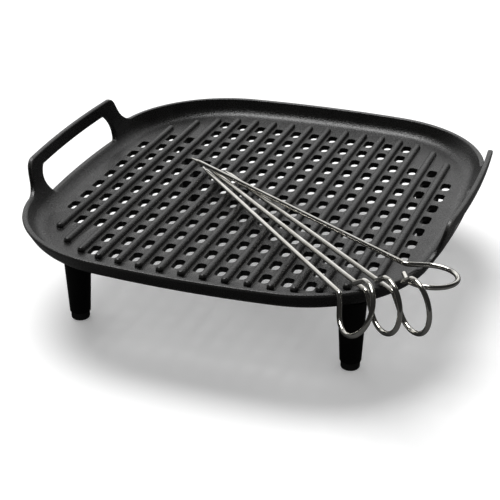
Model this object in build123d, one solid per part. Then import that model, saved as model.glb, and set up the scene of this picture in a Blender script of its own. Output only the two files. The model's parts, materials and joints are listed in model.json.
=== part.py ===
from build123d import *
import math
import os

# Table-top hibachi grill: a cast aluminium grill pan with two looped handles, ribs and
# drain slots, on four screw-in legs, with four wire skewers lying across one corner.
# Millimetres. +Z is up, the table is z = 0, and the origin is under the middle of the pan.
# X runs from handle to handle, Y runs along the ribs.

# ---------------------------------------------------------------- driving dimensions
# Pan outline: an oval of eight tangent arcs, measured over the outside of the rim.
pan_width = 316.6          # over the rim in X, without the handles
pan_depth = 342.4          # over the rim in Y
side_radius = 745.0        # arcs on the two handle sides
end_radius = 715.0         # arcs on the front and the back
corner_radius = 97.0       # arcs at the four corners

# Pan section.
floor_height = 69.0        # top of the pan's floor above the table
floor_thickness = 4.0
rim_height = 12.0          # rim above the top of the floor
lip_width = 3.8            # flat top of the rim
lip_round = 1.3
wall_slope = 60.0          # wall's angle to the horizontal, in degrees
inner_fillet = 12.0        # between floor and wall, inside
outer_fillet = 15.0        # between floor and wall, underneath

# Ribs and slots.
rib_pitch = 16.0
rib_count = 16
rib_width = 5.6
rib_height = 3.6
rib_round = 1.9
rib_end_margin = 25.6      # from the rim's outer edge to the end of a rib
slot_pitch = 21.4          # along a column
slot_length = 13.6
slot_width = 7.4
slot_corner = 2.6
short_columns = [7, 9, 9]  # slots in the outermost columns, from the handles inward
full_column = 13           # slots in every other column

# Handles.
handle_height = 34.7       # top of the handle above the top of the floor
handle_lean = 6.8          # how far its top stands out past the rim
handle_thickness = 4.0
handle_top_half = 71.0     # half length of the straight top, before rounding
handle_foot_half = 80.0    # where the sides would meet the rim, before rounding
handle_corner = 9.0
handle_foot_round = 15.0
handle_bury = 1.0          # how far the foot of the handle lies below the rim's top
grip_top = 24.6            # the finger opening, above the top of the floor
grip_bottom = 4.1
grip_top_half = 53.0
grip_waist_half = 60.0     # widest point of its rounded ends
grip_bottom_half = 55.0
grip_corner = 3.0

# Legs.
leg_x = 104.4              # leg axes, either side of the middle
leg_y = 109.0
boss_radius = 10.9
boss_height = 9.0
leg_top_radius = 10.3
leg_bottom_radius = 7.7
leg_edge_round = 0.8
foot_radius = 6.9
foot_height = 6.0
foot_round = 1.8
spigot_radius = 3.5
spigot_length = 6.0
stud_radius = 4.0
stud_in_leg = 18.0
stud_in_boss = 8.0
stud_end_gap = 0.6         # space left above the stud in its blind hole
washer_radius = 8.4
washer_thickness = 1.2
thread_clearance = 0.05
press_clearance = 0.03

# Skewers.
wire_radius = 1.75
shaft_length = 245.6       # from the point to the bend
point_length = 11.0
point_tip_radius = 0.35
ring_radius = 18.1         # to the middle of the wire
ring_distance = 23.4       # from the bend to the middle of the ring
bend_radius = 4.5
ring_end_angle = 97.0      # where the ring stops and its short tail begins
tail_radius = 4.5
tail_turn = 26.0
tail_length = 10.5
rest_gap = 0.3             # between a wire and what it lies on
ring_lift = 0.9            # extra height where the ring itself crosses the rim

# Each skewer: where its bend is, the direction its ring end points (degrees from +X), how its
# ring is turned about the shaft (0 is flat to the right, -90 is hanging down), and the height
# of its point above the ribs beyond a plain rest.
skewers = {
    "skewer_front": (108.5, -156.2, -47.1, -66.0, 0.0),
    "skewer_second": (124.0, -148.0, -44.2, -85.0, 0.0),
    "skewer_third": (140.8, -143.4, -42.7, -90.0, 0.0),
    "skewer_top": (138.6, -103.2, -32.0, -176.0, 5.0),
}

# ---------------------------------------------------------------- derived sizes
half_width = pan_width / 2
half_depth = pan_depth / 2
floor_bottom = floor_height - floor_thickness
rim_top = floor_height + rim_height
boss_bottom = floor_bottom - boss_height
leg_top = boss_bottom - washer_thickness
column_count = rib_count + 1
rib_top = floor_height + rib_height

# Centres of the outline's arcs. The corner's centre is where the circles of possible
# centres for the side arc and the end arc cross.
side_centre = half_width - side_radius
end_centre = half_depth - end_radius


def corner_centre():
    """Centre of the corner arc in the +X +Y quarter."""
    from_side = side_radius - corner_radius
    from_end = end_radius - corner_radius
    span = math.hypot(side_centre, end_centre)
    along = (from_side**2 - from_end**2 + span**2) / (2 * span)
    across = math.sqrt(from_side**2 - along**2)
    unit_x = -side_centre / span
    unit_y = end_centre / span
    centre_x = side_centre + unit_x * along - unit_y * across
    centre_y = unit_y * along + unit_x * across
    return centre_x, centre_y


corner_x, corner_y = corner_centre()
side_half_angle = math.degrees(math.atan2(corner_y, corner_x - side_centre))
end_half_angle = math.degrees(math.atan2(corner_x, corner_y - end_centre))


def outline_arcs():
    """The eight arcs of the rim, anticlockwise: centre x, centre y, radius, start, sweep."""
    corner_sweep = 90 - side_half_angle - end_half_angle
    return [
        (side_centre, 0, side_radius, -side_half_angle, 2 * side_half_angle),
        (corner_x, corner_y, corner_radius, side_half_angle, corner_sweep),
        (0, end_centre, end_radius, 90 - end_half_angle, 2 * end_half_angle),
        (-corner_x, corner_y, corner_radius, 90 + end_half_angle, corner_sweep),
        (-side_centre, 0, side_radius, 180 - side_half_angle, 2 * side_half_angle),
        (-corner_x, -corner_y, corner_radius, 180 + side_half_angle, corner_sweep),
        (0, -end_centre, end_radius, 270 - end_half_angle, 2 * end_half_angle),
        (corner_x, -corner_y, corner_radius, 270 + end_half_angle, corner_sweep),
    ]


def outline_wire(inset):
    """The pan's outline, moved inward by inset."""
    edges = []
    for centre_x, centre_y, radius, start, sweep in outline_arcs():
        edges.append(CenterArc((centre_x, centre_y), radius - inset, start, sweep))
    return Wire(edges)


def half_depth_at(x, inset):
    """Half the depth of the outline at x, moved inward by inset."""
    end_reach = end_radius - inset
    corner_reach = corner_radius - inset
    corner_start_x = end_reach * math.sin(math.radians(end_half_angle))
    if abs(x) <= corner_start_x:
        return end_centre + math.sqrt(end_reach**2 - x**2)
    return corner_y + math.sqrt(corner_reach**2 - (abs(x) - corner_x) ** 2)


def section_plane(centre_x, centre_y, angle):
    """Upright plane through an arc's centre. Its own x points outward, its y points up."""
    outward = (math.cos(math.radians(angle)), math.sin(math.radians(angle)), 0)
    sideways = (math.sin(math.radians(angle)), -math.cos(math.radians(angle)), 0)
    return Plane(origin=(centre_x, centre_y, 0), x_dir=outward, z_dir=sideways)


def rod(radius, length):
    """A cylinder standing on its origin."""
    return Cylinder(radius, length, align=(Align.CENTER, Align.CENTER, Align.MIN))


# ---------------------------------------------------------------- pan
def wall_strip_width():
    """How far the wall's section reaches in from the rim, past both fillets."""
    run = (rim_height + floor_thickness) / math.tan(math.radians(wall_slope))
    half_turn = math.tan(math.radians(wall_slope / 2))
    outer_reach = run + outer_fillet * half_turn
    inner_reach = lip_width + run + inner_fillet * half_turn
    return max(outer_reach, inner_reach) + 1


def wall_section(radius):
    """Section of the wall and a strip of floor, for an arc of the given radius.

    The outer corner of the lip is drawn past the outline by as much as rounding takes off.
    """
    slope = math.tan(math.radians(wall_slope))
    strip = wall_strip_width()
    edge = lip_round / math.tan(math.radians(wall_slope / 2)) - lip_round
    outer_foot = (rim_height + floor_thickness) / slope - edge
    inner_foot = lip_width + rim_height / slope
    points = [
        (radius - strip, floor_bottom),
        (radius - outer_foot, floor_bottom),
        (radius + edge, rim_top),
        (radius - lip_width, rim_top),
        (radius - inner_foot, floor_height),
        (radius - strip, floor_height),
    ]
    face = make_face(Polyline(*points, close=True))
    corners = face.vertices()

    def corner_at(point):
        return corners.sort_by_distance((point[0], point[1], 0))[0]

    rounds = [
        (points[1], outer_fillet),
        (points[2], lip_round),
        (points[3], lip_round),
        (points[4], inner_fillet),
    ]
    for point, size in rounds:
        corners = face.vertices()
        face = fillet(corner_at(point), size)
    return face


def pan_wall():
    """The sloping wall, one turned piece for each arc of the outline."""
    pieces = []
    for centre_x, centre_y, radius, start, sweep in outline_arcs():
        section = section_plane(centre_x, centre_y, start) * wall_section(radius)
        axis = Axis((centre_x, centre_y, 0), (0, 0, 1))
        pieces.append(revolve(section, axis, revolution_arc=sweep))
    return pieces


def column_slots(column):
    """How many slots a column has. Columns are counted from either handle."""
    from_handle = min(column, column_count - 1 - column)
    if from_handle < len(short_columns):
        return short_columns[from_handle]
    return full_column


def slot_centres():
    """Middle of every drain slot."""
    centres = []
    for column in range(column_count):
        x = (column - (column_count - 1) / 2) * rib_pitch
        count = column_slots(column)
        for row in range(count):
            y = (row - (count - 1) / 2) * slot_pitch
            centres.append((x, y))
    return centres


def pan_floor():
    """The flat floor with its drain slots."""
    outer = outline_wire(wall_strip_width() - 0.5)
    slot = RectangleRounded(slot_width, slot_length, slot_corner).wire()
    holes = [Pos(x, y) * slot for x, y in slot_centres()]
    plate = Pos(0, 0, floor_bottom) * Face(outer, holes)
    return extrude(plate, floor_thickness, dir=(0, 0, 1))


def ribs():
    """Round-topped ribs between the columns of slots, each as long as the outline allows."""
    made = []
    sunk = floor_thickness / 2
    for index in range(rib_count):
        x = (index - (rib_count - 1) / 2) * rib_pitch
        length = 2 * half_depth_at(x, rib_end_margin)
        foot = Pos(x, 0, floor_height - sunk) * Rot(0, 0, 90) * SlotOverall(length, rib_width)
        rib = extrude(foot, rib_height + sunk, dir=(0, 0, 1))
        top = rib.faces().sort_by(Axis.Z)[-1]
        made.append(fillet(top.edges(), rib_round))
    return made


def handle_outline():
    """Side view of a handle: a low trapezium whose feet sweep out into the rim."""
    low = rim_top - handle_bury
    deep = floor_height + rim_height / 2
    run_out = handle_foot_half + 2 * handle_foot_round
    top = floor_height + handle_height
    points = [
        (-run_out, deep),
        (-run_out, low),
        (-handle_foot_half, low),
        (-handle_top_half, top),
        (handle_top_half, top),
        (handle_foot_half, low),
        (run_out, low),
        (run_out, deep),
    ]
    face = make_face(Polyline(*points, close=True))
    for y, z, size in [
        (-handle_top_half, top, handle_corner),
        (handle_top_half, top, handle_corner),
        (-handle_foot_half, low, handle_foot_round),
        (handle_foot_half, low, handle_foot_round),
    ]:
        face = fillet(face.vertices().sort_by_distance((y, z, 0))[0], size)
    return face


def grip_outline():
    """The finger opening: straight top and bottom, ends that bulge outward."""
    top = floor_height + grip_top
    bottom = floor_height + grip_bottom
    middle = floor_height + (grip_top + grip_bottom) / 2
    edges = [
        Line((-grip_top_half, top), (grip_top_half, top)),
        ThreePointArc((grip_top_half, top), (grip_waist_half, middle), (grip_bottom_half, bottom)),
        Line((grip_bottom_half, bottom), (-grip_bottom_half, bottom)),
        ThreePointArc((-grip_bottom_half, bottom), (-grip_waist_half, middle), (-grip_top_half, top)),
    ]
    return fillet(make_face(edges).vertices(), grip_corner)


def side_view(face, side):
    """Puts a side-view outline upright, far out on one handle's side, facing inward."""
    plane = Plane(origin=(side * pan_width, 0, 0), x_dir=(0, 1, 0), z_dir=(1, 0, 0))
    return plane * face


def handle_plate(side):
    """The handle's curved plate: a turned strip that leans out, cut to its side view."""
    slope = math.tan(math.radians(wall_slope))
    foot_z = floor_height + rim_height / 2
    foot_r = side_radius - (rim_top - foot_z) / slope
    top_z = floor_height + handle_height
    top_r = side_radius + handle_lean
    waist_z = (rim_top + top_z) / 2
    waist_r = side_radius + handle_lean * 0.62
    outer = ThreePointArc((foot_r, foot_z), (waist_r, waist_z), (top_r, top_z))
    inner_foot = (foot_r - handle_thickness, foot_z)
    inner_waist = (waist_r - handle_thickness, waist_z)
    inner_top = (top_r - handle_thickness, top_z)
    inner = ThreePointArc(inner_top, inner_waist, inner_foot)
    edges = [
        outer,
        Line((top_r, top_z), inner_top),
        inner,
        Line(inner_foot, (foot_r, foot_z)),
    ]
    section = make_face(edges)
    reach = math.degrees(math.asin((handle_foot_half + 3 * handle_foot_round) / side_radius))
    start = -reach if side > 0 else 180 - reach
    centre = side * side_centre
    strip_section = section_plane(centre, 0, start) * section
    strip = revolve(strip_section, Axis((centre, 0, 0), (0, 0, 1)), revolution_arc=2 * reach)
    slab = extrude(side_view(handle_outline(), side), pan_width * 0.75, dir=(-side, 0, 0))
    return strip & slab


def grip_cutter(side):
    """The block that opens the handle for fingers."""
    return extrude(side_view(grip_outline(), side), pan_width * 0.75, dir=(-side, 0, 0))


def leg_places():
    """Name and centre of each leg."""
    return {
        "front_left": (-leg_x, -leg_y),
        "front_right": (leg_x, -leg_y),
        "back_left": (-leg_x, leg_y),
        "back_right": (leg_x, leg_y),
    }


def leg_boss(x, y):
    """Boss under the floor, with the blind tapped hole for a leg's stud."""
    boss = rod(boss_radius, boss_height + floor_thickness / 2)
    hole = rod(stud_radius + thread_clearance, stud_in_boss + stud_end_gap)
    return Pos(x, y, boss_bottom) * (boss - hole)


def grill_pan():
    """The whole casting: the rim with its handles, then the floor, ribs and bosses."""
    wall = pan_wall()
    rim = wall[0].fuse(*wall[1:], handle_plate(1), handle_plate(-1))
    rim = rim.cut(grip_cutter(1), grip_cutter(-1))
    bosses = [leg_boss(x, y) for x, y in leg_places().values()]
    return pan_floor().fuse(rim, *ribs(), *bosses).clean()


# ---------------------------------------------------------------- legs
def upright(shape, x, y, z):
    return Pos(x, y, z) * shape


def leg(x, y):
    """Tapered leg, with a socket for its stud above and for its foot's spigot below."""
    length = leg_top - foot_height
    body = Cone(
        leg_bottom_radius,
        leg_top_radius,
        length,
        align=(Align.CENTER, Align.CENTER, Align.MIN),
    )
    body = fillet(body.edges(), leg_edge_round)
    stud_socket = Pos(0, 0, length - stud_in_leg) * rod(stud_radius + press_clearance, stud_in_leg)
    spigot_socket = rod(spigot_radius + press_clearance, spigot_length)
    return upright(body - stud_socket - spigot_socket, x, y, foot_height)


def foot_cap(x, y):
    """Soft foot pushed into the bottom of the leg."""
    pad = rod(foot_radius, foot_height)
    bottom_edge = pad.edges().sort_by(Axis.Z)[0]
    pad = fillet(bottom_edge, foot_round)
    spigot = Pos(0, 0, foot_height - 1) * rod(spigot_radius, spigot_length + 1 - press_clearance)
    return upright(pad + spigot, x, y, 0)


def leg_stud(x, y):
    """Stud that joins the leg to the pan. Its thread is left plain."""
    bottom = leg_top - stud_in_leg + press_clearance
    top = boss_bottom + stud_in_boss
    return upright(chamfer(rod(stud_radius, top - bottom).edges(), 0.6), x, y, bottom)


def leg_washer(x, y):
    """Washer between the leg and the pan's boss."""
    ring = rod(washer_radius, washer_thickness) - rod(stud_radius + thread_clearance, washer_thickness)
    return upright(ring, x, y, leg_top)


# ---------------------------------------------------------------- skewers
def inside_lip(x, y):
    """Whether a point is within the inner edge of the rim's lip."""
    if abs(x) >= half_width - lip_width:
        return False
    return abs(y) < half_depth_at(x, lip_width)


def overhang(bend_x, bend_y, heading):
    """How far the bend lies beyond the inner edge of the lip, along the shaft."""
    distance = 0.0
    step = 0.1
    while not inside_lip(
        bend_x - distance * math.cos(heading),
        bend_y - distance * math.sin(heading),
    ):
        distance += step
    return distance


def skewer(bend_x, bend_y, heading, ring_turn, raised):
    """A wire skewer: pointed shaft, bend, open ring and a short tail."""
    heading = math.radians(heading)
    beyond = overhang(bend_x, bend_y, heading)
    point_z = rib_top + wire_radius + rest_gap + raised
    rest_z = rim_top + wire_radius + rest_gap
    if beyond == 0:
        rest_z += ring_lift
    climb = math.asin((rest_z - point_z) / (shaft_length - beyond))
    bend_z = point_z + shaft_length * math.sin(climb)
    flat = math.cos(climb)
    along = Vector(flat * math.cos(heading), flat * math.sin(heading), math.sin(climb))
    right = along.cross(Vector(0, 0, 1)).normalized()
    above = right.cross(along)
    turn = math.radians(ring_turn)
    across = right * math.cos(turn) + above * math.sin(turn)
    plane = Plane(origin=(bend_x, bend_y, bend_z), x_dir=along, z_dir=along.cross(across))

    touch = 180 - math.degrees(math.acos(ring_radius / ring_distance))
    touch_x = ring_distance + ring_radius * math.cos(math.radians(touch))
    touch_y = ring_radius * math.sin(math.radians(touch))
    shaft_start = point_length - shaft_length
    neck = FilletPolyline((shaft_start, 0), (0, 0), (touch_x, touch_y), radius=bend_radius)
    ring = CenterArc((ring_distance, 0), ring_radius, touch, -(touch + ring_end_angle))
    tail_bend = JernArc(ring @ 1, ring % 1, tail_radius, -tail_turn)
    tail_direction = tail_bend % 1
    tail = Line(tail_bend @ 1, (tail_bend @ 1) + tail_direction * tail_length)
    path = Wire(neck.edges() + ring.edges() + tail_bend.edges() + tail.edges())
    path = plane * path
    wire = sweep(Plane(origin=path @ 0, z_dir=path % 0) * Circle(wire_radius), path=path)
    point = Cone(
        wire_radius,
        point_tip_radius,
        point_length,
        align=(Align.CENTER, Align.CENTER, Align.MIN),
    )
    return wire + Plane(origin=path @ 0, z_dir=-along) * point


# ---------------------------------------------------------------- write the parts
def main():
    os.makedirs("parts", exist_ok=True)
    parts = {"grill_pan": grill_pan()}
    for name, (x, y) in leg_places().items():
        parts["leg_" + name] = leg(x, y)
        parts["foot_cap_" + name] = foot_cap(x, y)
        parts["leg_stud_" + name] = leg_stud(x, y)
        parts["leg_washer_" + name] = leg_washer(x, y)
    for name, place in skewers.items():
        parts[name] = skewer(*place)
    for name, shape in parts.items():
        export_step(shape, "parts/" + name + ".step")
        print(name, round(shape.volume, 1))


main()
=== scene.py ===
# %% [markdown]
# # A table-top hibachi grill
# The model is built around a imported CAD assembly that already holds every true size.
# The CAD parts stay where they are. This file gives each of them a finer mesh or a
# finish, sets up a small studio, and prints how large the pan is.
# All lengths are metres; `mm` turns drawing sizes into metres.

# %% Load the assembly
import json
import math

import bmesh
import bpy
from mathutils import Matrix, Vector
from mathutils.geometry import delaunay_2d_cdt


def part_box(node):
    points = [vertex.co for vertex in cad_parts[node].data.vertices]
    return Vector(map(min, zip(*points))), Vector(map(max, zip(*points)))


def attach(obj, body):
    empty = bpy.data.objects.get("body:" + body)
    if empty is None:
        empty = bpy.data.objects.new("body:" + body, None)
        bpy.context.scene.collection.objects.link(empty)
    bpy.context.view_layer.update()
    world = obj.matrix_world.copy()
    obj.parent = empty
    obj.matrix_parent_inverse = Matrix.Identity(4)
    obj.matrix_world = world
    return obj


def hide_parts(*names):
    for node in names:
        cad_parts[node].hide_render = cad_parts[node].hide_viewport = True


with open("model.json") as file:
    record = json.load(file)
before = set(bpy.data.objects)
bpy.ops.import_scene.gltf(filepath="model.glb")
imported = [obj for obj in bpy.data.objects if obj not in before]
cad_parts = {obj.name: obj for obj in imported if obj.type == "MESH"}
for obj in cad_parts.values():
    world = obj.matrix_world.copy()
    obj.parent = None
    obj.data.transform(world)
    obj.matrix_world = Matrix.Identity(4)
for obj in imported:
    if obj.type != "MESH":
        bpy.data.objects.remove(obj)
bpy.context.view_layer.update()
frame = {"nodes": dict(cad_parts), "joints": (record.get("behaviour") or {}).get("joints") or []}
mm = 0.001
scene = bpy.context.scene

# %% [markdown]
# ## Measuring the casting
# Most sizes can be read from the boxes of the CAD parts, so a change there carries over.
# The rest are the casting's own drawing sizes: arcs, slopes and fillets that a box
# can't tell.

# %% Sizes taken from the assembly
pan_low, pan_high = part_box("grill_pan")
leg_low, leg_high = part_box("leg_front_left")
washer_low, washer_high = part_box("leg_washer_front_left")
boss_face_z = washer_high.z
pan_half_depth = pan_high.y
print("pan box, mm:", [round(v / mm, 1) for v in pan_high - pan_low])

# %% [markdown]
# ## Camera
# A product view from the front right, a little above, with a long lens so that the
# pan's far side isn't much smaller than its near side.

# %% Camera
camera_data = bpy.data.cameras.new("studio_camera")
camera = bpy.data.objects.new("studio_camera", camera_data)
scene.collection.objects.link(camera)
camera.location = (0.32882, -0.92520, 0.51042)
camera.rotation_euler = (math.radians(63.58), 0, math.radians(20.12))
camera_data.sensor_width = 36
camera_data.lens = 101.1
camera_data.clip_start = 0.05
camera_data.clip_end = 20
scene.camera = camera
scene.view_settings.view_transform = "Standard"
print("camera at", [round(v, 3) for v in camera.location])

# %% [markdown]
# ## Shader nodes by hand
# Every finish below is a small node tree. Two helpers keep that readable: one adds a
# node and fills in its inputs, the other starts a node group with named sockets.

# %% Node helpers
def add_node(tree, kind, inputs=None, **settings):
    """Adds a node, sets its properties, then fills inputs with numbers or links."""
    node = tree.nodes.new(kind)
    for name, value in settings.items():
        setattr(node, name, value)
    for socket, value in (inputs or {}).items():
        if isinstance(value, bpy.types.NodeSocket):
            tree.links.new(value, node.inputs[socket])
        else:
            node.inputs[socket].default_value = value
    return node


def start_group(name, numbers, outputs):
    """A node group with number inputs {name: default} and outputs {name: socket type}."""
    group = bpy.data.node_groups.new(name, "ShaderNodeTree")
    for socket, value in numbers.items():
        made = group.interface.new_socket(socket, in_out="INPUT", socket_type="NodeSocketFloat")
        made.default_value = value
    for socket, kind in outputs.items():
        group.interface.new_socket(socket, in_out="OUTPUT", socket_type=kind)
    return group, group.nodes.new("NodeGroupInput"), group.nodes.new("NodeGroupOutput")


def math_node(tree, operation, first, second=0.0, third=0.0):
    """One step of arithmetic on values that vary over the surface."""
    inputs = {0: first, 1: second, 2: third}
    return add_node(tree, "ShaderNodeMath", inputs, operation=operation).outputs[0]


def ramp(tree, value, low, high, to_low=0.0, to_high=1.0):
    """Moves low..high to to_low..to_high, clamped."""
    inputs = {"Value": value, "From Min": low, "From Max": high}
    inputs.update({"To Min": to_low, "To Max": to_high})
    return add_node(tree, "ShaderNodeMapRange", inputs, clamp=True).outputs["Result"]


print("node helpers ready")

# %% [markdown]
# ## Grain that several finishes share
# Sprayed coating, moulded plastic and rubber all have a grain of one size or another:
# a fine stipple, with slow cloudy changes under it. Painting it as an image would need
# a file and an unwrap, so it is one node group of two noises with its own grain size.

# %% Grain group
grain_group, grain_in, grain_out = start_group(
    "fine_grain",
    {"Grain per metre": 1500.0, "Cloud per metre": 60.0, "Stipple": 0.5},
    {"Stipple": "NodeSocketFloat", "Cloud": "NodeSocketFloat", "Height": "NodeSocketFloat"},
)
grain_place = add_node(grain_group, "ShaderNodeTexCoord").outputs["Object"]
grain_noise = add_node(
    grain_group,
    "ShaderNodeTexNoise",
    {"Vector": grain_place, "Scale": grain_in.outputs["Grain per metre"], "Detail": 3.0},
)
cloud_noise = add_node(
    grain_group,
    "ShaderNodeTexNoise",
    {"Vector": grain_place, "Scale": grain_in.outputs["Cloud per metre"], "Detail": 4.0},
)
stipple_value = ramp(grain_group, grain_noise.outputs["Fac"], 0.36, 0.66)
cloud_value = ramp(grain_group, cloud_noise.outputs["Fac"], 0.3, 0.7)
grain_height = math_node(grain_group, "MULTIPLY", stipple_value, grain_in.outputs["Stipple"])
grain_group.links.new(stipple_value, grain_out.inputs["Stipple"])
grain_group.links.new(cloud_value, grain_out.inputs["Cloud"])
grain_group.links.new(grain_height, grain_out.inputs["Height"])
print("group", grain_group.name)

# %% [markdown]
# ## Worn edges and a painted highlight
# Handling rubs a coating thin where it stands proud and leaves it dull in the hollows.
# Pointiness says how convex the mesh is at each vertex, which is just that, and the
# grain breaks the line up so that it doesn't look drawn. The lighter edge colour is also
# a painted highlight: it is fullest above a given height, along the handles' top edges,
# where it stands in for a bright line of reflected light.

# %% Edge group
edge_group, edge_in, edge_out = start_group(
    "rubbed_edges_and_painted_highlight",
    {"Start": 0.52, "Full": 0.6, "Break up": 0.4, "Stipple": 0.5, "Highlit and handled from": 0.0},
    {"Edge": "NodeSocketFloat", "Hollow": "NodeSocketFloat"},
)
pointiness = add_node(edge_group, "ShaderNodeNewGeometry").outputs["Pointiness"]
edge_raw = ramp(edge_group, pointiness, edge_in.outputs["Start"], edge_in.outputs["Full"])
broken = math_node(edge_group, "MULTIPLY", edge_in.outputs["Stipple"], edge_in.outputs["Break up"])
edge_kept = math_node(edge_group, "SUBTRACT", 1.0, broken)
edge_place = add_node(edge_group, "ShaderNodeTexCoord").outputs["Object"]
edge_height = add_node(edge_group, "ShaderNodeSeparateXYZ", {"Vector": edge_place}).outputs["Z"]
above_start = math_node(edge_group, "SUBTRACT", edge_height, edge_in.outputs["Highlit and handled from"])
# Above the given height (the handle tops) the edge lightening is full: wear, and a painted highlight along
# the handles' top edges.
handled_and_highlit = ramp(edge_group, above_start, 0.0, 8 * mm, 0.25, 1.0)
edge_worn_and_highlit = math_node(edge_group, "MULTIPLY", edge_raw, handled_and_highlit)
edge_value = math_node(edge_group, "MULTIPLY", edge_worn_and_highlit, edge_kept)
hollow_value = ramp(edge_group, pointiness, 0.49, 0.42)
edge_group.links.new(edge_value, edge_out.inputs["Edge"])
edge_group.links.new(hollow_value, edge_out.inputs["Hollow"])
print("group", edge_group.name)

# %% [markdown]
# ## Five finishes
# Cast aluminium under a dark non-stick coating; black moulded leg; black rubber foot;
# zinc-plated steel for stud and washer; polished stainless wire. The first three are
# the same recipe with other numbers, so one function makes them.

# %% Coated and moulded finishes
def mix_colour(tree, amount, first, second):
    """Blends two colours by a value that varies over the surface."""
    node = tree.nodes.new("ShaderNodeMix")
    node.data_type = "RGBA"
    tree.links.new(amount, node.inputs["Factor"])
    for socket, colour in ((6, first), (7, second)):
        if isinstance(colour, bpy.types.NodeSocket):
            tree.links.new(colour, node.inputs[socket])
        else:
            node.inputs[socket].default_value = (*colour, 1)
    return node.outputs[2]


def grained_finish(name, dark, pale, rubbed_and_highlit, rough, grain, bump, specular, highlit_and_handled_from=0.0):
    """A dark, grained surface: stipple and cloud in colour and gloss, edges lightened by wear and a painted
    highlight.
    """
    material = bpy.data.materials.new(name)
    material.use_nodes = True
    tree = material.node_tree
    shader = tree.nodes["Principled BSDF"]
    grained = add_node(tree, "ShaderNodeGroup", node_tree=grain_group)
    grained.inputs["Grain per metre"].default_value = grain
    edged = add_node(tree, "ShaderNodeGroup", node_tree=edge_group)
    edged.inputs["Highlit and handled from"].default_value = highlit_and_handled_from
    tree.links.new(grained.outputs["Stipple"], edged.inputs["Stipple"])
    ground = mix_colour(tree, grained.outputs["Cloud"], dark, pale)
    # Convex edges are lightened towards the edge colour: partly wear, partly a painted highlight.
    colour = mix_colour(tree, edged.outputs["Edge"], ground, rubbed_and_highlit)
    tree.links.new(colour, shader.inputs["Base Color"])
    low, high = rough
    gloss = ramp(tree, grained.outputs["Stipple"], 0.0, 1.0, high, low)
    clouded = math_node(tree, "MULTIPLY_ADD", grained.outputs["Cloud"], -0.06, gloss)
    burnished = math_node(tree, "MULTIPLY_ADD", edged.outputs["Edge"], -0.2, clouded)
    tree.links.new(burnished, shader.inputs["Roughness"])
    shader.inputs["Specular IOR Level"].default_value = specular
    bumped = add_node(
        tree,
        "ShaderNodeBump",
        {"Height": grained.outputs["Height"], "Strength": bump[0], "Distance": bump[1]},
    )
    tree.links.new(bumped.outputs["Normal"], shader.inputs["Normal"])
    return material


pan_coating = grained_finish(
    "dark_cast_coating",
    dark=(0.004, 0.0039, 0.0037),
    pale=(0.009, 0.0088, 0.0083),
    # This pale edge colour is partly wear and partly a painted highlight on the handles' top edges.
    rubbed_and_highlit=(0.26, 0.256, 0.245),
    rough=(0.20, 0.42),
    grain=1000.0,
    bump=(0.5, 0.0003),
    specular=0.5,
    highlit_and_handled_from=82 * mm,
)
leg_black = grained_finish(
    "black_moulding",
    dark=(0.0025, 0.0025, 0.0025),
    pale=(0.004, 0.004, 0.004),
    rubbed_and_highlit=(0.010, 0.010, 0.010),
    rough=(0.38, 0.5),
    grain=900.0,
    bump=(0.15, 0.0001),
    specular=0.12,
)
foot_rubber = grained_finish(
    "black_rubber",
    dark=(0.008, 0.008, 0.008),
    pale=(0.014, 0.014, 0.014),
    rubbed_and_highlit=(0.03, 0.03, 0.03),
    rough=(0.62, 0.8),
    grain=2400.0,
    bump=(0.5, 0.0002),
    specular=0.25,
)
print("finishes:", pan_coating.name, leg_black.name, foot_rubber.name)

# %% [markdown]
# Drawn wire and turned steel both carry fine parallel lines left by the tool: along
# the wire, and round the washer. A noise squeezed in one direction gives them. The wire
# gets its direction from its own unwrap, which runs along its length.

# %% Metal finishes
def metal_finish(name, pale, dark, rough, stretch, bump, coordinates):
    """A bright metal with tool lines. stretch squeezes the noise along each coordinate."""
    material = bpy.data.materials.new(name)
    material.use_nodes = True
    tree = material.node_tree
    shader = tree.nodes["Principled BSDF"]
    place = add_node(tree, "ShaderNodeTexCoord").outputs[coordinates]
    squeezed = add_node(tree, "ShaderNodeMapping", {"Vector": place, "Scale": stretch})
    lines = add_node(
        tree,
        "ShaderNodeTexNoise",
        {"Vector": squeezed.outputs[0], "Scale": 1.0, "Detail": 2.0},
    ).outputs["Fac"]
    grained = add_node(tree, "ShaderNodeGroup", node_tree=grain_group)
    grained.inputs["Grain per metre"].default_value = 500.0
    grained.inputs["Cloud per metre"].default_value = 90.0
    tint = mix_colour(tree, grained.outputs["Cloud"], pale, dark)
    tree.links.new(tint, shader.inputs["Base Color"])
    shader.inputs["Metallic"].default_value = 1.0
    low, high = rough
    gloss = ramp(tree, lines, 0.3, 0.7, low, high)
    tree.links.new(gloss, shader.inputs["Roughness"])
    bumped = add_node(
        tree, "ShaderNodeBump", {"Height": lines, "Strength": bump, "Distance": 0.00005}
    )
    tree.links.new(bumped.outputs["Normal"], shader.inputs["Normal"])
    return material


skewer_wire = metal_finish(
    "polished_wire",
    pale=(0.80, 0.79, 0.75),
    dark=(0.62, 0.60, 0.55),
    rough=(0.09, 0.18),
    stretch=(40.0, 3000.0, 1.0),
    bump=0.2,
    coordinates="UV",
)
stud_steel = metal_finish(
    "plated_steel",
    pale=(0.62, 0.62, 0.60),
    dark=(0.5, 0.5, 0.47),
    rough=(0.25, 0.42),
    stretch=(900.0, 900.0, 9000.0),
    bump=0.3,
    coordinates="Object",
)
print("finishes:", skewer_wire.name, stud_steel.name)

# %% [markdown]
# ## Studio
# The grill is nearly black, so it is drawn by what it reflects: a broad bright wall
# behind it greys the flat tops, and a dim room in front leaves the upright faces dark.
# The floor is white paper to the camera. It takes the shadow, and a little glow that only the camera
# sees brings its lit part up to plain white. To every other ray the paper is nearly black,
# a painted shade that keeps it dark in the metal's reflections and bouncing little light.

# %% Floor
def seen_by_camera(tree):
    """1 for rays straight from the camera, else 0."""
    return add_node(tree, "ShaderNodeLightPath").outputs["Is Camera Ray"]


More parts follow.
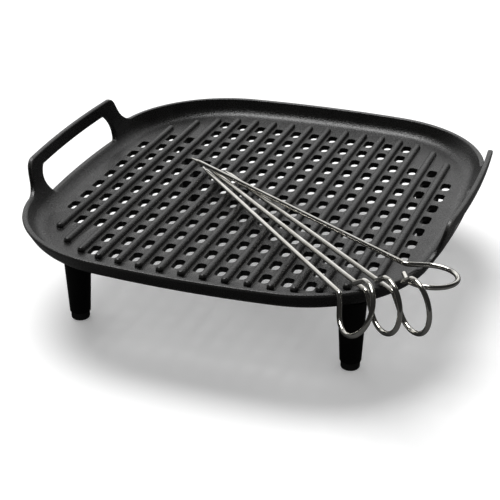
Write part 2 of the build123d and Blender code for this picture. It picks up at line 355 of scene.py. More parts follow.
floor_mesh = bpy.data.meshes.new("paper_floor")
floor_edit = bmesh.new()
bmesh.ops.create_grid(floor_edit, x_segments=24, y_segments=24, size=4.0)
floor_edit.to_mesh(floor_mesh)
floor_edit.free()
paper_floor = bpy.data.objects.new("paper_floor", floor_mesh)
scene.collection.objects.link(paper_floor)
paper_floor.location.z = -0.0002

paper = bpy.data.materials.new("paper")
paper.use_nodes = True
paper_shader = paper.node_tree.nodes["Principled BSDF"]
# Base colour 0.92 for camera rays and 0.08 for every other ray: a painted shade, so the paper shows dark in
# reflections and bounces little light.
paper_tone_painted_dark_off_camera = ramp(paper.node_tree, seen_by_camera(paper.node_tree), 0.0, 1.0, 0.08, 0.92)
paper.node_tree.links.new(paper_tone_painted_dark_off_camera, paper_shader.inputs["Base Color"])
paper_shader.inputs["Roughness"].default_value = 0.9
paper_shader.inputs["Specular IOR Level"].default_value = 0.0
paper_shader.inputs["Emission Color"].default_value = (1, 1, 1, 1)
glow = math_node(paper.node_tree, "MULTIPLY", seen_by_camera(paper.node_tree), 0.2)
paper.node_tree.links.new(glow, paper_shader.inputs["Emission Strength"])
floor_mesh.materials.append(paper)
print("floor", [round(v, 1) for v in paper_floor.dimensions])

# %% [markdown]
# The room is the world's own colour, changed by direction: dim in front, white behind
# and overhead. The camera sees plain white wherever it looks past the floor.

# %% Room
world = bpy.data.worlds.new("studio_room")
scene.world = world
world.use_nodes = True
room = world.node_tree
direction = add_node(room, "ShaderNodeTexCoord").outputs["Generated"]
toward = add_node(room, "ShaderNodeSeparateXYZ", {"Vector": direction})
behind = math_node(room, "MULTIPLY_ADD", toward.outputs["X"], -0.5, toward.outputs["Y"])
wall_light = ramp(room, behind, 0.5, 1.0, 0.0, 1.25)
wall_top = ramp(room, toward.outputs["Z"], 0.55, 0.85, 1.0, 0.2)
wall_foot = ramp(room, toward.outputs["Z"], 0.0, 0.25)
wall_height = math_node(room, "MULTIPLY", wall_top, wall_foot)
lit_wall = math_node(room, "MULTIPLY", wall_light, wall_height)
mirrored = add_node(room, "ShaderNodeLightPath").outputs["Is Glossy Ray"]
fill_light = ramp(room, mirrored, 0.0, 1.0, 0.45, 0.02)
room_light = math_node(room, "MAXIMUM", lit_wall, fill_light)
to_camera = seen_by_camera(room)
strength = math_node(room, "MAXIMUM", room_light, to_camera)
background = room.nodes["Background"]
background.inputs["Color"].default_value = (1, 1, 1, 1)
room.links.new(strength, background.inputs["Strength"])
print("room light", world.name)

# %% [markdown]
# One large soft lamp stands high behind the left shoulder of the pan and throws the
# shadow under the pan and off to the right.

# %% Lamp
def soft_sun(name, strength, spread, azimuth, height):
    """A broad lamp. azimuth 0 shines from the back, 90 from the left; height in degrees."""
    lamp = bpy.data.objects.new(name, bpy.data.lights.new(name, "SUN"))
    lamp.data.energy = strength
    lamp.data.angle = math.radians(spread)
    scene.collection.objects.link(lamp)
    turn = math.radians(azimuth)
    rise = math.radians(height)
    source = Vector(
        (-math.sin(turn) * math.cos(rise), math.cos(turn) * math.cos(rise), math.sin(rise))
    )
    lamp.rotation_euler = source.to_track_quat("Z", "Y").to_euler()
    return lamp


soft_sun("key_lamp", 2.1, 34, 55, 69)

# %% [markdown]
# ## The casting, drawn as one skin
# The pan is one pour of aluminium: floor, ribs, sloping wall, rim and both handles.
# Separate shells pushed into each other would show seams, and cutting with booleans
# leaves ragged faces. So the skin is laid out like a tailor's pattern: every point has
# `s`, its distance round the rim, `z`, its height, and `u`, how far it stands out from
# the rim's outer edge. The rim is an oval of eight arcs that run smoothly together.

# %% Rim outline
side_radius, end_radius, corner_radius = 745.0, 715.0, 97.0
handle_lean = 6.8
half_width = pan_high.x / mm - handle_lean
half_depth = pan_high.y / mm
side_centre = half_width - side_radius
end_centre = half_depth - end_radius
centre_span = math.hypot(side_centre, end_centre)
side_reach = side_radius - corner_radius
end_reach = end_radius - corner_radius
along_span = (side_reach**2 - end_reach**2 + centre_span**2) / (2 * centre_span)
across_span = math.sqrt(side_reach**2 - along_span**2)
corner_x = side_centre + (-side_centre * along_span - end_centre * across_span) / centre_span
corner_y = (end_centre * along_span - side_centre * across_span) / centre_span
side_half = math.atan2(corner_y, corner_x - side_centre)
end_half = math.atan2(corner_x, corner_y - end_centre)
corner_sweep = math.pi / 2 - side_half - end_half
rim_arcs = []
for quarter, (reach, half) in enumerate(2 * [(side_radius, side_half), (end_radius, end_half)]):
    facing = quarter * math.pi / 2
    centre = side_centre if quarter % 2 == 0 else end_centre
    centre_x = centre * math.cos(facing)
    centre_y = centre * math.sin(facing)
    rim_arcs.append((centre_x, centre_y, reach, facing - half, 2 * half))
    sign_x = 1 if quarter in (0, 3) else -1
    sign_y = 1 if quarter in (0, 1) else -1
    rim_arcs.append(
        (sign_x * corner_x, sign_y * corner_y, corner_radius, facing + half, corner_sweep)
    )
rim_length = sum(arc[2] * arc[4] for arc in rim_arcs)


def place(s, z, u):
    """The point s mm round the rim from the middle of the right handle, in metres."""
    left = (s + side_radius * side_half) % rim_length
    for centre_x, centre_y, reach, start, sweep in rim_arcs:
        if left <= reach * sweep + 1e-6:
            break
        left -= reach * sweep
    angle = start + left / reach
    out = reach + u
    return (
        (centre_x + out * math.cos(angle)) * mm,
        (centre_y + out * math.sin(angle)) * mm,
        z * mm,
    )


print("rim goes round", round(rim_length, 1), "mm")

# %% [markdown]
# The wall's section is two faces at 60 degrees with big fillets into the floor, one
# inside and one under. Where a handle rises the faces bend upright and thin a little,
# as they do on a pattern that has to leave its sand mould.

# %% Wall section
floor_top, floor_under, rim_top = 69.0, 65.0, 81.0
slope = math.tan(math.radians(60))
lip_round = 1.3
lip_overhang = lip_round / math.tan(math.radians(30)) - lip_round
wall_across = 3.8 + lip_overhang
inner_fillet, outer_fillet = 12.0, 15.0
bend_from = 75.0
handle_top = pan_high.z / mm
handle_rise = handle_top - bend_from
upright_bend = (
    lip_overhang + (handle_top - rim_top) / slope - handle_lean
) / handle_rise**2
inner_round_z = floor_top + inner_fillet
outer_round_z = floor_under + outer_fillet
inner_round_u = (
    lip_overhang + (bend_from - rim_top) / slope - wall_across
    - inner_fillet * math.sin(math.radians(60))
)
outer_tangent_z = outer_round_z - outer_fillet * 0.5
outer_round_u = (
    lip_overhang + (outer_tangent_z - rim_top) / slope
    - outer_fillet * math.sin(math.radians(60))
)


def ease(value):
    """0 to 1 with a smooth start and end."""
    value = min(max(value, 0.0), 1.0)
    return value * value * (3 - 2 * value)


def outer_u(z, lean):
    """The wall's outer face at height z. lean is 0 for plain rim, 1 for a handle."""
    if z < outer_tangent_z:
        return outer_round_u + math.sqrt(outer_fillet**2 - (outer_round_z - z) ** 2)
    straight = lip_overhang + (z - rim_top) / slope
    return straight - lean * upright_bend * max(z - bend_from, 0.0) ** 2


def inner_u(z, lean):
    """The wall's inner face at height z."""
    if z < bend_from:
        return inner_round_u + math.sqrt(inner_fillet**2 - (inner_round_z - z) ** 2)
    thinner = 0.75 * lean * ease((z - bend_from) / 15)
    return outer_u(z, lean) - wall_across + thinner


print("wall thickness over the rim, mm:", round(wall_across * math.sin(math.radians(60)), 2))

# %% [markdown]
# Handles, grip openings, ribs and skewer bends all have rounded corners. One helper
# rounds the corners of a line of points with true arcs, and one spaces the points of a
# line evenly.

# %% Rounded lines
def corner_arc(before, corner, after, weight, steps):
    """Points of the smooth corner from before to after; weight sets how full it is."""
    points = []
    for step in range(steps + 1):
        t = step / steps
        a, b, c = (1 - t) ** 2, 2 * t * (1 - t) * weight, t * t
        total = a + b + c
        points.append(
            tuple((a * p + b * q + c * r) / total for p, q, r in zip(before, corner, after))
        )
    return points


def rounded_line(points, radii, steps=16):
    """A line through 2D points with its inner corners rounded to the given radii."""
    made = [points[0]]
    for before, corner, after, radius in zip(points, points[1:], points[2:], radii):
        if radius == 0:
            made.append(corner)
            continue
        back = Vector(before) - Vector(corner)
        ahead = Vector(after) - Vector(corner)
        half = back.angle(ahead) / 2
        reach = radius / math.tan(half)
        start = Vector(corner) + back.normalized() * reach
        end = Vector(corner) + ahead.normalized() * reach
        made += corner_arc(start, corner, end, math.sin(half), steps)
    made.append(points[-1])
    return made


def evenly(points, steps):
    """steps + 1 points along a line, evenly spaced."""
    lengths = [0.0]
    for first, second in zip(points, points[1:]):
        lengths.append(lengths[-1] + math.dist(first, second))
    made, index = [], 0
    for step in range(steps + 1):
        wanted = lengths[-1] * step / steps
        while index < len(points) - 2 and lengths[index + 1] < wanted:
            index += 1
        piece = lengths[index + 1] - lengths[index]
        share = (wanted - lengths[index]) / piece if piece else 0.0
        share = min(max(share, 0.0), 1.0)
        made.append(tuple(p + (q - p) * share for p, q in zip(points[index], points[index + 1])))
    return made


print("corner test:", corner_arc((1, 0), (0, 0), (0, 1), 0.7071, 2)[1])

# %% [markdown]
# Seen from the side, half a handle is a line that leaves the rim in a sweep, climbs,
# and rounds over to the flat top. Half the grip opening is a second line inside it.
# Matching the two lines point for point gives a ring of clean four-sided faces round
# the opening, with no boolean.

# %% Side view of a handle
patch_end = 100.0
base_z = 71.0
base_steps, end_steps, climb_steps, top_steps = 72, 8, 34, 48
half_steps = base_steps + end_steps + climb_steps + top_steps
top_half, foot_half = 71.0, 79.6
foot_sweep, top_corner = 15.0, 9.0
grip_top, grip_bottom = floor_top + 24.6, floor_top + 4.1
grip_edge = 1.2
tiny = 1e-3
top_line = rounded_line(
    [(patch_end, rim_top), (foot_half, rim_top), (top_half, handle_top), (0, handle_top)],
    [foot_sweep, top_corner],
)
climb_end = next(i for i, p in enumerate(top_line) if p[1] > handle_top - tiny)
handle_edge = evenly(top_line[: climb_end + 1], climb_steps)
handle_edge += evenly(top_line[climb_end:], top_steps)[1:]


def grip_line(grow):
    """Half the grip opening, from bottom middle to top middle, made larger by grow."""
    bulge = []
    for step in range(9):
        t = step / 8
        swell = 24 * t * (1 - t)
        bulge.append((55 - 2 * t + swell + grow, grip_bottom - grow + (20.5 + 2 * grow) * t))
    corners = [(0, grip_bottom - grow), *bulge, (0, grip_top + grow)]
    radius = 3.0 + grow
    return rounded_line(corners, [radius] + [0] * 7 + [radius], steps=8)


def grip_points(grow):
    """The opening's half line, with as many points as half a handle patch has."""
    line = grip_line(grow)
    first = next(i for i, p in enumerate(line) if p[1] > grip_bottom - grow + tiny) - 1
    last = next(i for i, p in enumerate(line) if p[1] > grip_top + grow - tiny)
    made = evenly(line[: first + 1], base_steps)
    made += evenly(line[first : last + 1], end_steps + climb_steps)[1:]
    return made + evenly(line[last:], top_steps)[1:]


def lean_at(from_middle):
    """1 over the handle, easing to 0 where its foot runs out into the rim."""
    return ease((96 - abs(from_middle)) / 24)


print("points round one grip opening:", 2 * half_steps)

# %% [markdown]
# A pattern piece is a list of vertices and faces that grows strip by strip. Rows of
# vertices are kept as lists of numbers, and a strip is the faces between two rows.

# %% Skin
skin_points, skin_faces = [], []


def point(xyz):
    skin_points.append(xyz)
    return len(skin_points) - 1


def strip(first, second, closed=False):
    """Faces between two rows that have as many points."""
    count = len(first)
    for i in range(count if closed else count - 1):
        j = (i + 1) % count
        skin_faces.append((first[i], first[j], second[j], second[i]))


def lip_points(s, top, normal, lean):
    """The rounded lip over the wall, from the inner face to the outer, in s, z, u."""
    tilt = 1 / slope - 2 * lean * upright_bend * max(top - bend_from, 0.0)
    face_angle = math.atan2(1.0, tilt)
    outer_flat = lip_round / math.tan(face_angle / 2)
    inner_flat = lip_round * math.tan(face_angle / 2)
    made = []
    for flat, face_u, sign in ((inner_flat, inner_u, 1), (outer_flat, outer_u, -1)):
        drop = flat * math.sin(face_angle)
        low_s = s - drop * normal[0]
        low_z = top - drop * normal[1]
        below = (low_s, low_z, face_u(low_z, lean))
        corner = (s, top, face_u(top, lean))
        above = (s, top, face_u(top, lean) + sign * flat)
        half = face_angle / 2 if sign < 0 else (math.pi - face_angle) / 2
        arc = corner_arc(below, corner, above, math.sin(half), 4)
        made += arc if sign > 0 else arc[::-1]
    return made


def foot_row(s_values, centre_u, centre_z, radius, angle):
    """A row of the fillet between wall and floor, at one angle of its arc."""
    u = centre_u + radius * math.cos(angle)
    z = centre_z + radius * math.sin(angle)
    return [point(place(s, z, u)) for s in s_values]


handle_s = [-patch_end + 2 * patch_end * i / (2 * base_steps) for i in range(2 * base_steps)]
plain_gap = rim_length / 2 - 2 * patch_end
plain_steps = 200
plain_s = [patch_end + plain_gap * i / plain_steps for i in range(plain_steps)]
half_rim = handle_s + plain_s
rim_s = half_rim + [s + rim_length / 2 for s in half_rim]

inner_base_angle = math.asin((base_z - inner_round_z) / inner_fillet)
outer_base_angle = math.asin((base_z - outer_round_z) / outer_fillet)
floor_edge = -math.pi / 2
inner_rows = []
for i in range(6):
    angle = floor_edge + (inner_base_angle - floor_edge) * i / 5
    inner_rows.append(foot_row(rim_s, inner_round_u, inner_round_z, inner_fillet, angle))
outer_rows = []
for i in range(7):
    angle = floor_edge + (outer_base_angle - floor_edge) * i / 6
    outer_rows.append(foot_row(rim_s, outer_round_u, outer_round_z, outer_fillet, angle))
for rows in (inner_rows, outer_rows):
    for lower, upper in zip(rows, rows[1:]):
        strip(lower, upper, closed=True)
print("columns round the rim:", len(rim_s))

# %% Plain rim between the handles
def rim_column(s, inner_base, outer_base):
    """One column of the plain rim: up the inner face, over the lip, down the outer."""
    lip = lip_points(s, rim_top, (0, 1), 0)
    column = [inner_base]
    for i in range(1, end_steps):
        z = base_z + (lip[0][1] - base_z) * i / end_steps
        column.append(point(place(s, z, inner_u(z, 0))))
    column += [point(place(*p)) for p in lip]
    for i in range(end_steps - 1, 0, -1):
        z = base_z + (lip[-1][1] - base_z) * i / end_steps
        column.append(point(place(s, z, outer_u(z, 0))))
    return column + [outer_base]


half_count = len(half_rim)
end_columns = {}
for side in (0, 1):
    first = side * half_count + 2 * base_steps
    columns = []
    for i in range(plain_steps + 1):
        index = (first + i) % len(rim_s)
        columns.append(rim_column(rim_s[index], inner_rows[-1][index], outer_rows[-1][index]))
    for column, following in zip(columns, columns[1:]):
        strip(column, following)
    end_columns[side, 1] = columns[0]
    end_columns[1 - side, -1] = columns[-1]
print("skin so far:", len(skin_points), "points")

# %% [markdown]
# Now the handles. Each face of a handle is a ring of quads between the outside line
# (base, end of the plain rim, top edge) and the grip line, matched point for point.
# Rounded strips join the inner face to the outer one, over the top and in the opening.

# %% Handles
def edge_normal(line, i):
    """Unit vector out of the handle at point i of its edge line."""
    before, after = line[max(i - 1, 0)], line[min(i + 1, len(line) - 1)]
    run = Vector(after) - Vector(before)
    run.normalize()
    return (run[1], -run[0])


lip_count = len(lip_points(0, rim_top, (0, 1), 0))
for side in (0, 1):
    middle = side * rim_length / 2
    right, left = end_columns[side, 1], end_columns[side, -1]
    lip_right = right[end_steps : end_steps + lip_count]
    lip_left = left[end_steps : end_steps + lip_count]
    edge_rows = [lip_right]
    whole_edge = handle_edge + [(-s, z) for s, z in handle_edge[-2::-1]]
    for i in range(1, len(whole_edge) - 1):
        s, z = whole_edge[i]
        lip = lip_points(s, z, edge_normal(whole_edge, i), lean_at(s))
        edge_rows.append([point(place(middle + p[0], p[1], p[2])) for p in lip])
    edge_rows.append(lip_left)
    for row, following in zip(edge_rows, edge_rows[1:]):
        strip(row, following)

    base = [side * half_count + i for i in range(2 * base_steps + 1)]
    centre = base_steps
    grip_loops = []
    for face, (rows, lip_end, face_u) in enumerate(
        ((inner_rows, 0, inner_u), (outer_rows, -1, outer_u))
    ):
        bottom = [rows[-1][i % len(rim_s)] for i in base]
        ends = slice(1, end_steps) if face == 0 else slice(-2, -end_steps - 1, -1)
        loop = bottom[centre:] + right[ends]
        loop += [row[lip_end] for row in edge_rows]
        loop += left[ends][::-1] + bottom[:centre]
        flat_loop = [(patch_end * i / base_steps, base_z) for i in range(base_steps + 1)]
        low_lip = lip_points(patch_end, rim_top, (0, 1), 0)[lip_end]
        for i in range(1, end_steps):
            flat_loop.append((patch_end, base_z + (low_lip[1] - base_z) * i / end_steps))
        for i, (s, z) in enumerate(handle_edge):
            normal = edge_normal(whole_edge, i)
            low = lip_points(s, z, normal, lean_at(s))[lip_end]
            flat_loop.append((low[0], low[1]))
        grip = grip_points(grip_edge)
        previous = loop
        rings = 9
        for ring in range(1, rings + 1):
            share = 1 - (1 - ring / rings) ** 1.3
            half_line = []
            for outside, inside in zip(flat_loop, grip):
                s = outside[0] + (inside[0] - outside[0]) * share
                z = outside[1] + (inside[1] - outside[1]) * share
                half_line.append((s, z))
            whole = half_line + [(-s, z) for s, z in half_line[-2:0:-1]]
            made = [point(place(middle + s, z, face_u(z, lean_at(s)))) for s, z in whole]
            strip(previous, made, closed=True)
            previous = made
        grip_loops.append(previous)

    outside_line = grip_points(grip_edge)
    inside_line = grip_points(0.0)
    outside_whole = outside_line + [(-s, z) for s, z in outside_line[-2:0:-1]]
    inside_whole = inside_line + [(-s, z) for s, z in inside_line[-2:0:-1]]
    hole_rows = []
    for index, (wide, tight) in enumerate(zip(outside_whole, inside_whole)):
        wide_lean, tight_lean = lean_at(wide[0]), lean_at(tight[0])
        row = []
        for face_u, sign in ((inner_u, 1), (outer_u, -1)):
            on_face = (*wide, face_u(wide[1], wide_lean))
            corner = (*tight, face_u(tight[1], tight_lean))
            within = (*tight, face_u(tight[1], tight_lean) + sign * grip_edge)
            arc = corner_arc(on_face, corner, within, 0.75, 4)
            arc = arc if sign > 0 else arc[::-1]
            row += [point(place(middle + p[0], p[1], p[2])) for p in arc]
        row[0] = grip_loops[0][index]
        row[-1] = grip_loops[1][index]
        hole_rows.append(row)
    for row, following in zip(hole_rows, hole_rows[1:] + hole_rows[:1]):
        strip(row, following)
print("skin with handles:", len(skin_points), "points")

# %% [markdown]
# ## Floor, slots and ribs
# The floor is flat, so it only needs its holes: each slot, and the foot of each rib.
# A constrained triangulation fills the space between all those loops without adding a
# point, and the slots and ribs carry on from the same loops, up or down.

# %% Slots and ribs
rib_pitch, rib_count = 16.0, 16
rib_half, rib_height, rib_round, rib_root = 2.8, 3.6, 2.3, 0.4
rib_margin = 25.6
slot_pitch, slot_half_length, slot_half_width, slot_corner = 21.4, 6.8, 3.6, 3.2
slot_edge, slot_under_edge, slot_draft = 0.35, 0.3, 0.4
outer_column_slots = (7, 9, 9)
full_column_slots = 13


def level_row(points, z):
    return [point((x * mm, y * mm, z * mm)) for x, y in points]


def slot_ring(x, y, grow):
    """A slot's outline, made larger by grow."""
    made = []
    for corner in range(4):
        sign_x = 1 if corner in (0, 3) else -1
        sign_y = 1 if corner in (0, 1) else -1
        centre_x = x + sign_x * (slot_half_width - slot_corner)
        centre_y = y + sign_y * (slot_half_length - slot_corner)
        for step in range(6):
            angle = (corner + step / 5) * math.pi / 2
            reach = slot_corner + grow
            made.append((centre_x + reach * math.cos(angle), centre_y + reach * math.sin(angle)))
    return made


def rib_ring(x, half_run, half_across):
    """A rib's outline at one height: two half circles joined by straights."""
    made = []
    for end in (1, -1):
        for step in range(13):
            angle = math.pi * step / 12 + (0 if end > 0 else math.pi)
            along = end * half_run + half_across * math.sin(angle)
            made.append((x + half_across * math.cos(angle), along))
    return made


def rounded_steps(radius, steps):
    """Offsets across and down of a quarter round, from its flat side to its upright."""
    turns = [math.pi / 2 * i / steps for i in range(steps + 1)]
    return [(radius * (1 - math.sin(a)), radius * (1 - math.cos(a))) for a in turns]


top_loops, under_loops = [], []
for column in range(rib_count + 1):
    from_handle = min(column, rib_count - column)
    short = from_handle < len(outer_column_slots)
    count = outer_column_slots[from_handle] if short else full_column_slots
    x = (column - rib_count / 2) * rib_pitch
    for row in range(count):
        y = (row - (count - 1) / 2) * slot_pitch
        rings = []
        for grow, down in rounded_steps(slot_edge, 3):
            rings.append(level_row(slot_ring(x, y, grow), floor_top - down))
        for grow, up in rounded_steps(slot_under_edge, 2)[::-1]:
            rings.append(level_row(slot_ring(x, y, grow - slot_draft), floor_under + up))
        for ring, following in zip(rings, rings[1:]):
            strip(ring, following, closed=True)
        top_loops.append(rings[0])
        under_loops.append(rings[-1])


def half_depth_at(x, inset):
    """Half the pan's depth at x, moved in from the rim by inset."""
    end_arc = end_radius - inset
    if abs(x) <= end_arc * math.sin(end_half):
        return end_centre + math.sqrt(end_arc**2 - x**2)
    return corner_y + math.sqrt((corner_radius - inset) ** 2 - (abs(x) - corner_x) ** 2)


for index in range(rib_count):
    x = (index - (rib_count - 1) / 2) * rib_pitch
    half_run = half_depth_at(x, rib_margin) - rib_half
    profile = []
    for across, up in rounded_steps(rib_root, 3):
        profile.append((rib_half + across, floor_top + up))
    for across, down in rounded_steps(rib_round, 6)[::-1]:
        profile.append((rib_half - across, floor_top + rib_height - down))
    rings = [level_row(rib_ring(x, half_run, across), z) for across, z in profile]
    for ring, following in zip(rings, rings[1:]):
        strip(ring, following, closed=True)
    skin_faces.append(tuple(rings[-1]))
    top_loops.append(rings[0])
print("slots:", len(under_loops), "ribs:", rib_count)


# %% Flat faces between the loops
def fill_flat(outline, holes):
    """Triangles between an outline and its holes, all at one height."""
    loops = [outline] + holes
    flat, edges, owner, numbers = [], [], [], []
    for loop_index, loop in enumerate(loops):
        first = len(flat)
        for i, number in enumerate(loop):
            flat.append(Vector(skin_points[number][:2]) / mm)
            numbers.append(number)
            owner.append(loop_index)
            edges.append((first + i, first + (i + 1) % len(loop)))
    result = delaunay_2d_cdt(flat, edges, [], 1, 1e-5, True)
    kept = 0
    for face in result[2]:
        sources = [result[3][i][0] for i in face]
        owners = {owner[i] for i in sources}
        if len(owners) == 1 and owners != {0}:
            continue
        skin_faces.append(tuple(numbers[i] for i in sources))
        kept += 1
    return kept


print("floor faces:", fill_flat(inner_rows[0], top_loops), fill_flat(outer_rows[0], under_loops))

# %% [markdown]
# Four bosses stand under the floor, each with a blind hole for a leg's stud. They are
# turned shapes, so a profile spun round an axis makes them, and the legs and feet later.

# %% Turned shapes
def turned(profile, segments, centre=(0, 0), closed=False):
    """Points and faces of a profile of (radius, height) spun round an upright axis."""
    points, rows = [], []
    for radius, height in profile:
        if radius < 1e-6:
            rows.append([len(points)] * segments)
            points.append((centre[0] * mm, centre[1] * mm, height * mm))
            continue
        rows.append(list(range(len(points), len(points) + segments)))
        for i in range(segments):
            angle = 2 * math.pi * i / segments
            x = centre[0] + radius * math.cos(angle)
            y = centre[1] + radius * math.sin(angle)
            points.append((x * mm, y * mm, height * mm))
    faces = []
    following_rows = rows[1:] + rows[:1] if closed else rows[1:]
    for row, following in zip(rows, following_rows):
        for i in range(segments):
            j = (i + 1) % segments
            corners = [row[i], row[j], following[j], following[i]]
            face = tuple(dict.fromkeys(corners))
            if len(face) > 2:
                faces.append(face)
    return points, faces


def rounded_profile(points, radii, steps=6):
    """A profile with its inner corners rounded; a radius of 0 leaves a corner sharp."""
    return rounded_line(points, radii, steps)



def finished_piece(name, points, faces, material, body, node, slot_name, sharp=32, unwrap=None):
    """Makes the mesh, checks its facing, smooths it and hangs it on its body."""
    mesh = bpy.data.meshes.new(name)
    edit = bmesh.new()
    made = [edit.verts.new(p) for p in points]
    unwrap_layer = edit.loops.layers.uv.new("along_and_round") if unwrap else None
    for face in faces:
        try:
            new_face = edit.faces.new([made[i] for i in face])
        except ValueError:
            continue
        if unwrap:
            for loop, i in zip(new_face.loops, face):
                loop[unwrap_layer].uv = unwrap[i]
    bmesh.ops.remove_doubles(edit, verts=edit.verts, dist=1e-7)
    loose = [v for v in edit.verts if not v.link_faces]
    bmesh.ops.delete(edit, geom=loose, context="VERTS")
    bmesh.ops.recalc_face_normals(edit, faces=edit.faces)
    for face in edit.faces:
        face.smooth = True
    for edge in edit.edges:
        if len(edge.link_faces) == 2:
            edge.smooth = edge.calc_face_angle() < math.radians(sharp)
    open_edges = sum(1 for e in edit.edges if len(e.link_faces) != 2)
    edit.to_mesh(mesh)
    edit.free()
    piece = bpy.data.objects.new(name, mesh)
    scene.collection.objects.link(piece)
    mesh.materials.append(material)
    weigh = piece.modifiers.new("flat_faces_lead", "WEIGHTED_NORMAL")
    weigh.keep_sharp = True
    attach(piece, body)
    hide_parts(node)
    print(name, len(mesh.vertices), "points,", open_edges, "open edges")
    return piece


print("turned shapes ready")

# %% Pan
stud_radius, stud_gap = 4.0, 0.05
# Measured at the front left leg, which lies at -x and -y
leg_x = abs(leg_low.x + leg_high.x) / 2 / mm
leg_y = abs(leg_low.y + leg_high.y) / 2 / mm
boss_face = boss_face_z / mm
boss_profile = rounded_profile(
    [
        (0, floor_top - 2),
        (10.9, floor_top - 2),
        (10.9, floor_under + 0.05),
        (12.2, floor_under + 0.05),
        (10.9, floor_under - 1.6),
        (10.9, boss_face),
        (stud_radius + stud_gap + 0.5, boss_face),
        (stud_radius + stud_gap, boss_face + 0.5),
        (stud_radius + stud_gap, boss_face + 8.6),
        (0, boss_face + 10.2),
    ],
    [0.3, 0, 0, 1.2, 0.8, 0, 0, 0.2],
)
for centre in ((leg_x, leg_y), (-leg_x, leg_y), (leg_x, -leg_y), (-leg_x, -leg_y)):
    boss_points, boss_faces = turned(boss_profile, 48, centre)
    first = len(skin_points)
    skin_points += boss_points
    skin_faces += [tuple(first + i for i in face) for face in boss_faces]
pan = finished_piece(
    "pan_casting", skin_points, skin_faces, pan_coating, "pan", "grill_pan", "pan_coating", 40
)

# %% [markdown]
# ## Legs and feet
# Each leg is a black heat-proof moulding, a cone with softened edges that narrows to the
# foot. A rubber cap is pushed into its lower end. Both are turned, with the hole for the
# stud and the hole for the cap's spigot drawn in the same profile as the outside.

# %% Leg and foot profiles
corner_signs = {
    "front_left": (-1, -1),
    "front_right": (1, -1),
    "back_left": (-1, 1),
    "back_right": (1, 1),
}
leg_foot_z, leg_top_z = leg_low.z / mm, leg_high.z / mm
stud_low, stud_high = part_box("leg_stud_front_left")
stud_foot_z, stud_top_z = stud_low.z / mm, stud_high.z / mm
leg_profile = rounded_profile(
    [
        (0, 12),
        (3.53, 12),
        (3.53, leg_foot_z + 0.3),
        (3.83, leg_foot_z),
        (7.7, leg_foot_z),
        (10.3, leg_top_z),
        (4.5, leg_top_z),
        (4.03, leg_top_z - 0.5),
        (4.03, stud_foot_z - 0.03),
        (0, stud_foot_z - 0.03),
    ],
    [0, 0, 0, 0.8, 0.8, 0, 0, 0],
)
foot_profile = rounded_profile(
    [
        (0, 11.97),
        (3.2, 11.97),
        (3.5, 11.6),
        (3.5, 6),
        (6.9, 6),
        (6.9, 0),
        (3.9, 0),
        (3.6, 0.35),
        (2.7, 0.35),
        (2.4, 0),
        (0, 0),
    ],
    [0, 0, 0, 0.3, 1.8, 0, 0, 0, 0],
)
for corner, (sign_x, sign_y) in corner_signs.items():
    centre = (sign_x * leg_x, sign_y * leg_y)
    leg_node, body = "leg_" + corner, "leg_" + corner
    finished_piece(
        "moulded_leg_" + corner, *turned(leg_profile, 72, centre), leg_black, body,
        leg_node, "leg_black",
    )
    finished_piece(
        "rubber_foot_" + corner, *turned(foot_profile, 56, centre), foot_rubber, body,
        "foot_cap_" + corner, "foot_rubber",
    )
print("leg from", round(leg_foot_z, 2), "to", round(leg_top_z, 2), "mm")

# %% [markdown]
# ## Threaded studs and washers
# A leg screws into its boss with an M8 stud, which only shows once the leg is turned
# out. The thread is one strip of four faces across (root, rising flank, crest, falling
# flank) wound round the axis, so it climbs by a pitch each turn like the real one. The
# ends are chamfered by keeping the radius under a cone. The washer is a punched ring.

# %% Studs and washers
thread_pitch, thread_depth, thread_segments = 1.25, 0.62, 36


def threaded_rod(radius, low, high, centre):
    """Points and faces of a threaded rod with chamfered ends."""
    across = [(0.0, -thread_depth), (0.14, -thread_depth), (0.47, 0.0), (0.66, 0.0)]
    turns = math.ceil((high - low) / thread_pitch) + 2
    points, faces = [], []
    for step in range(turns * thread_segments + 1):
        angle = 2 * math.pi * step / thread_segments
        for share, deeper in across:
            height = low + (step / thread_segments - 1 + share) * thread_pitch
            height = min(max(height, low), high)
            end_limit = radius - thread_depth - 0.2 + min(height - low, high - height)
            reach = min(radius + deeper, end_limit)
            x = centre[0] + reach * math.cos(angle)
            y = centre[1] + reach * math.sin(angle)
            points.append((x * mm, y * mm, height * mm))
    wide = len(across)
    for step in range((turns - 1) * thread_segments):
        for lane in range(wide):
            first = step * wide + lane
            above = first + 1 if lane < wide - 1 else (step + thread_segments) * wide
            faces.append((first, first + wide, above + wide, above))
    for height in (low, high):
        ring = []
        for step in range(thread_segments):
            angle = 2 * math.pi * step / thread_segments
            reach = radius - thread_depth - 0.2
            ring.append(len(points))
            x = centre[0] + reach * math.cos(angle)
            y = centre[1] + reach * math.sin(angle)
            points.append((x * mm, y * mm, height * mm))
        faces.append(tuple(ring))
    return points, faces


washer_foot_z, washer_top_z = washer_low.z / mm, washer_high.z / mm
washer_profile = rounded_profile(
    [
        (4.05, washer_foot_z + 0.15),
        (4.2, washer_foot_z),
        (8.4, washer_foot_z),
        (8.4, washer_top_z),
        (4.2, washer_top_z),
        (4.05, washer_top_z - 0.15),
    ],
    [0, 0.25, 0.35, 0],
)
for corner, (sign_x, sign_y) in corner_signs.items():
    centre = (sign_x * leg_x, sign_y * leg_y)
    finished_piece(
        "m8_stud_" + corner, *threaded_rod(stud_radius, stud_foot_z, stud_top_z, centre),
        stud_steel, "leg_" + corner, "leg_stud_" + corner, "stud_steel",
    )
    finished_piece(
        "steel_washer_" + corner, *turned(washer_profile, 64, centre, closed=True),
        stud_steel, "washer_" + corner, "leg_washer_" + corner, "stud_steel",
    )
print("stud from", round(stud_foot_z, 2), "to", round(stud_top_z, 2), "mm")

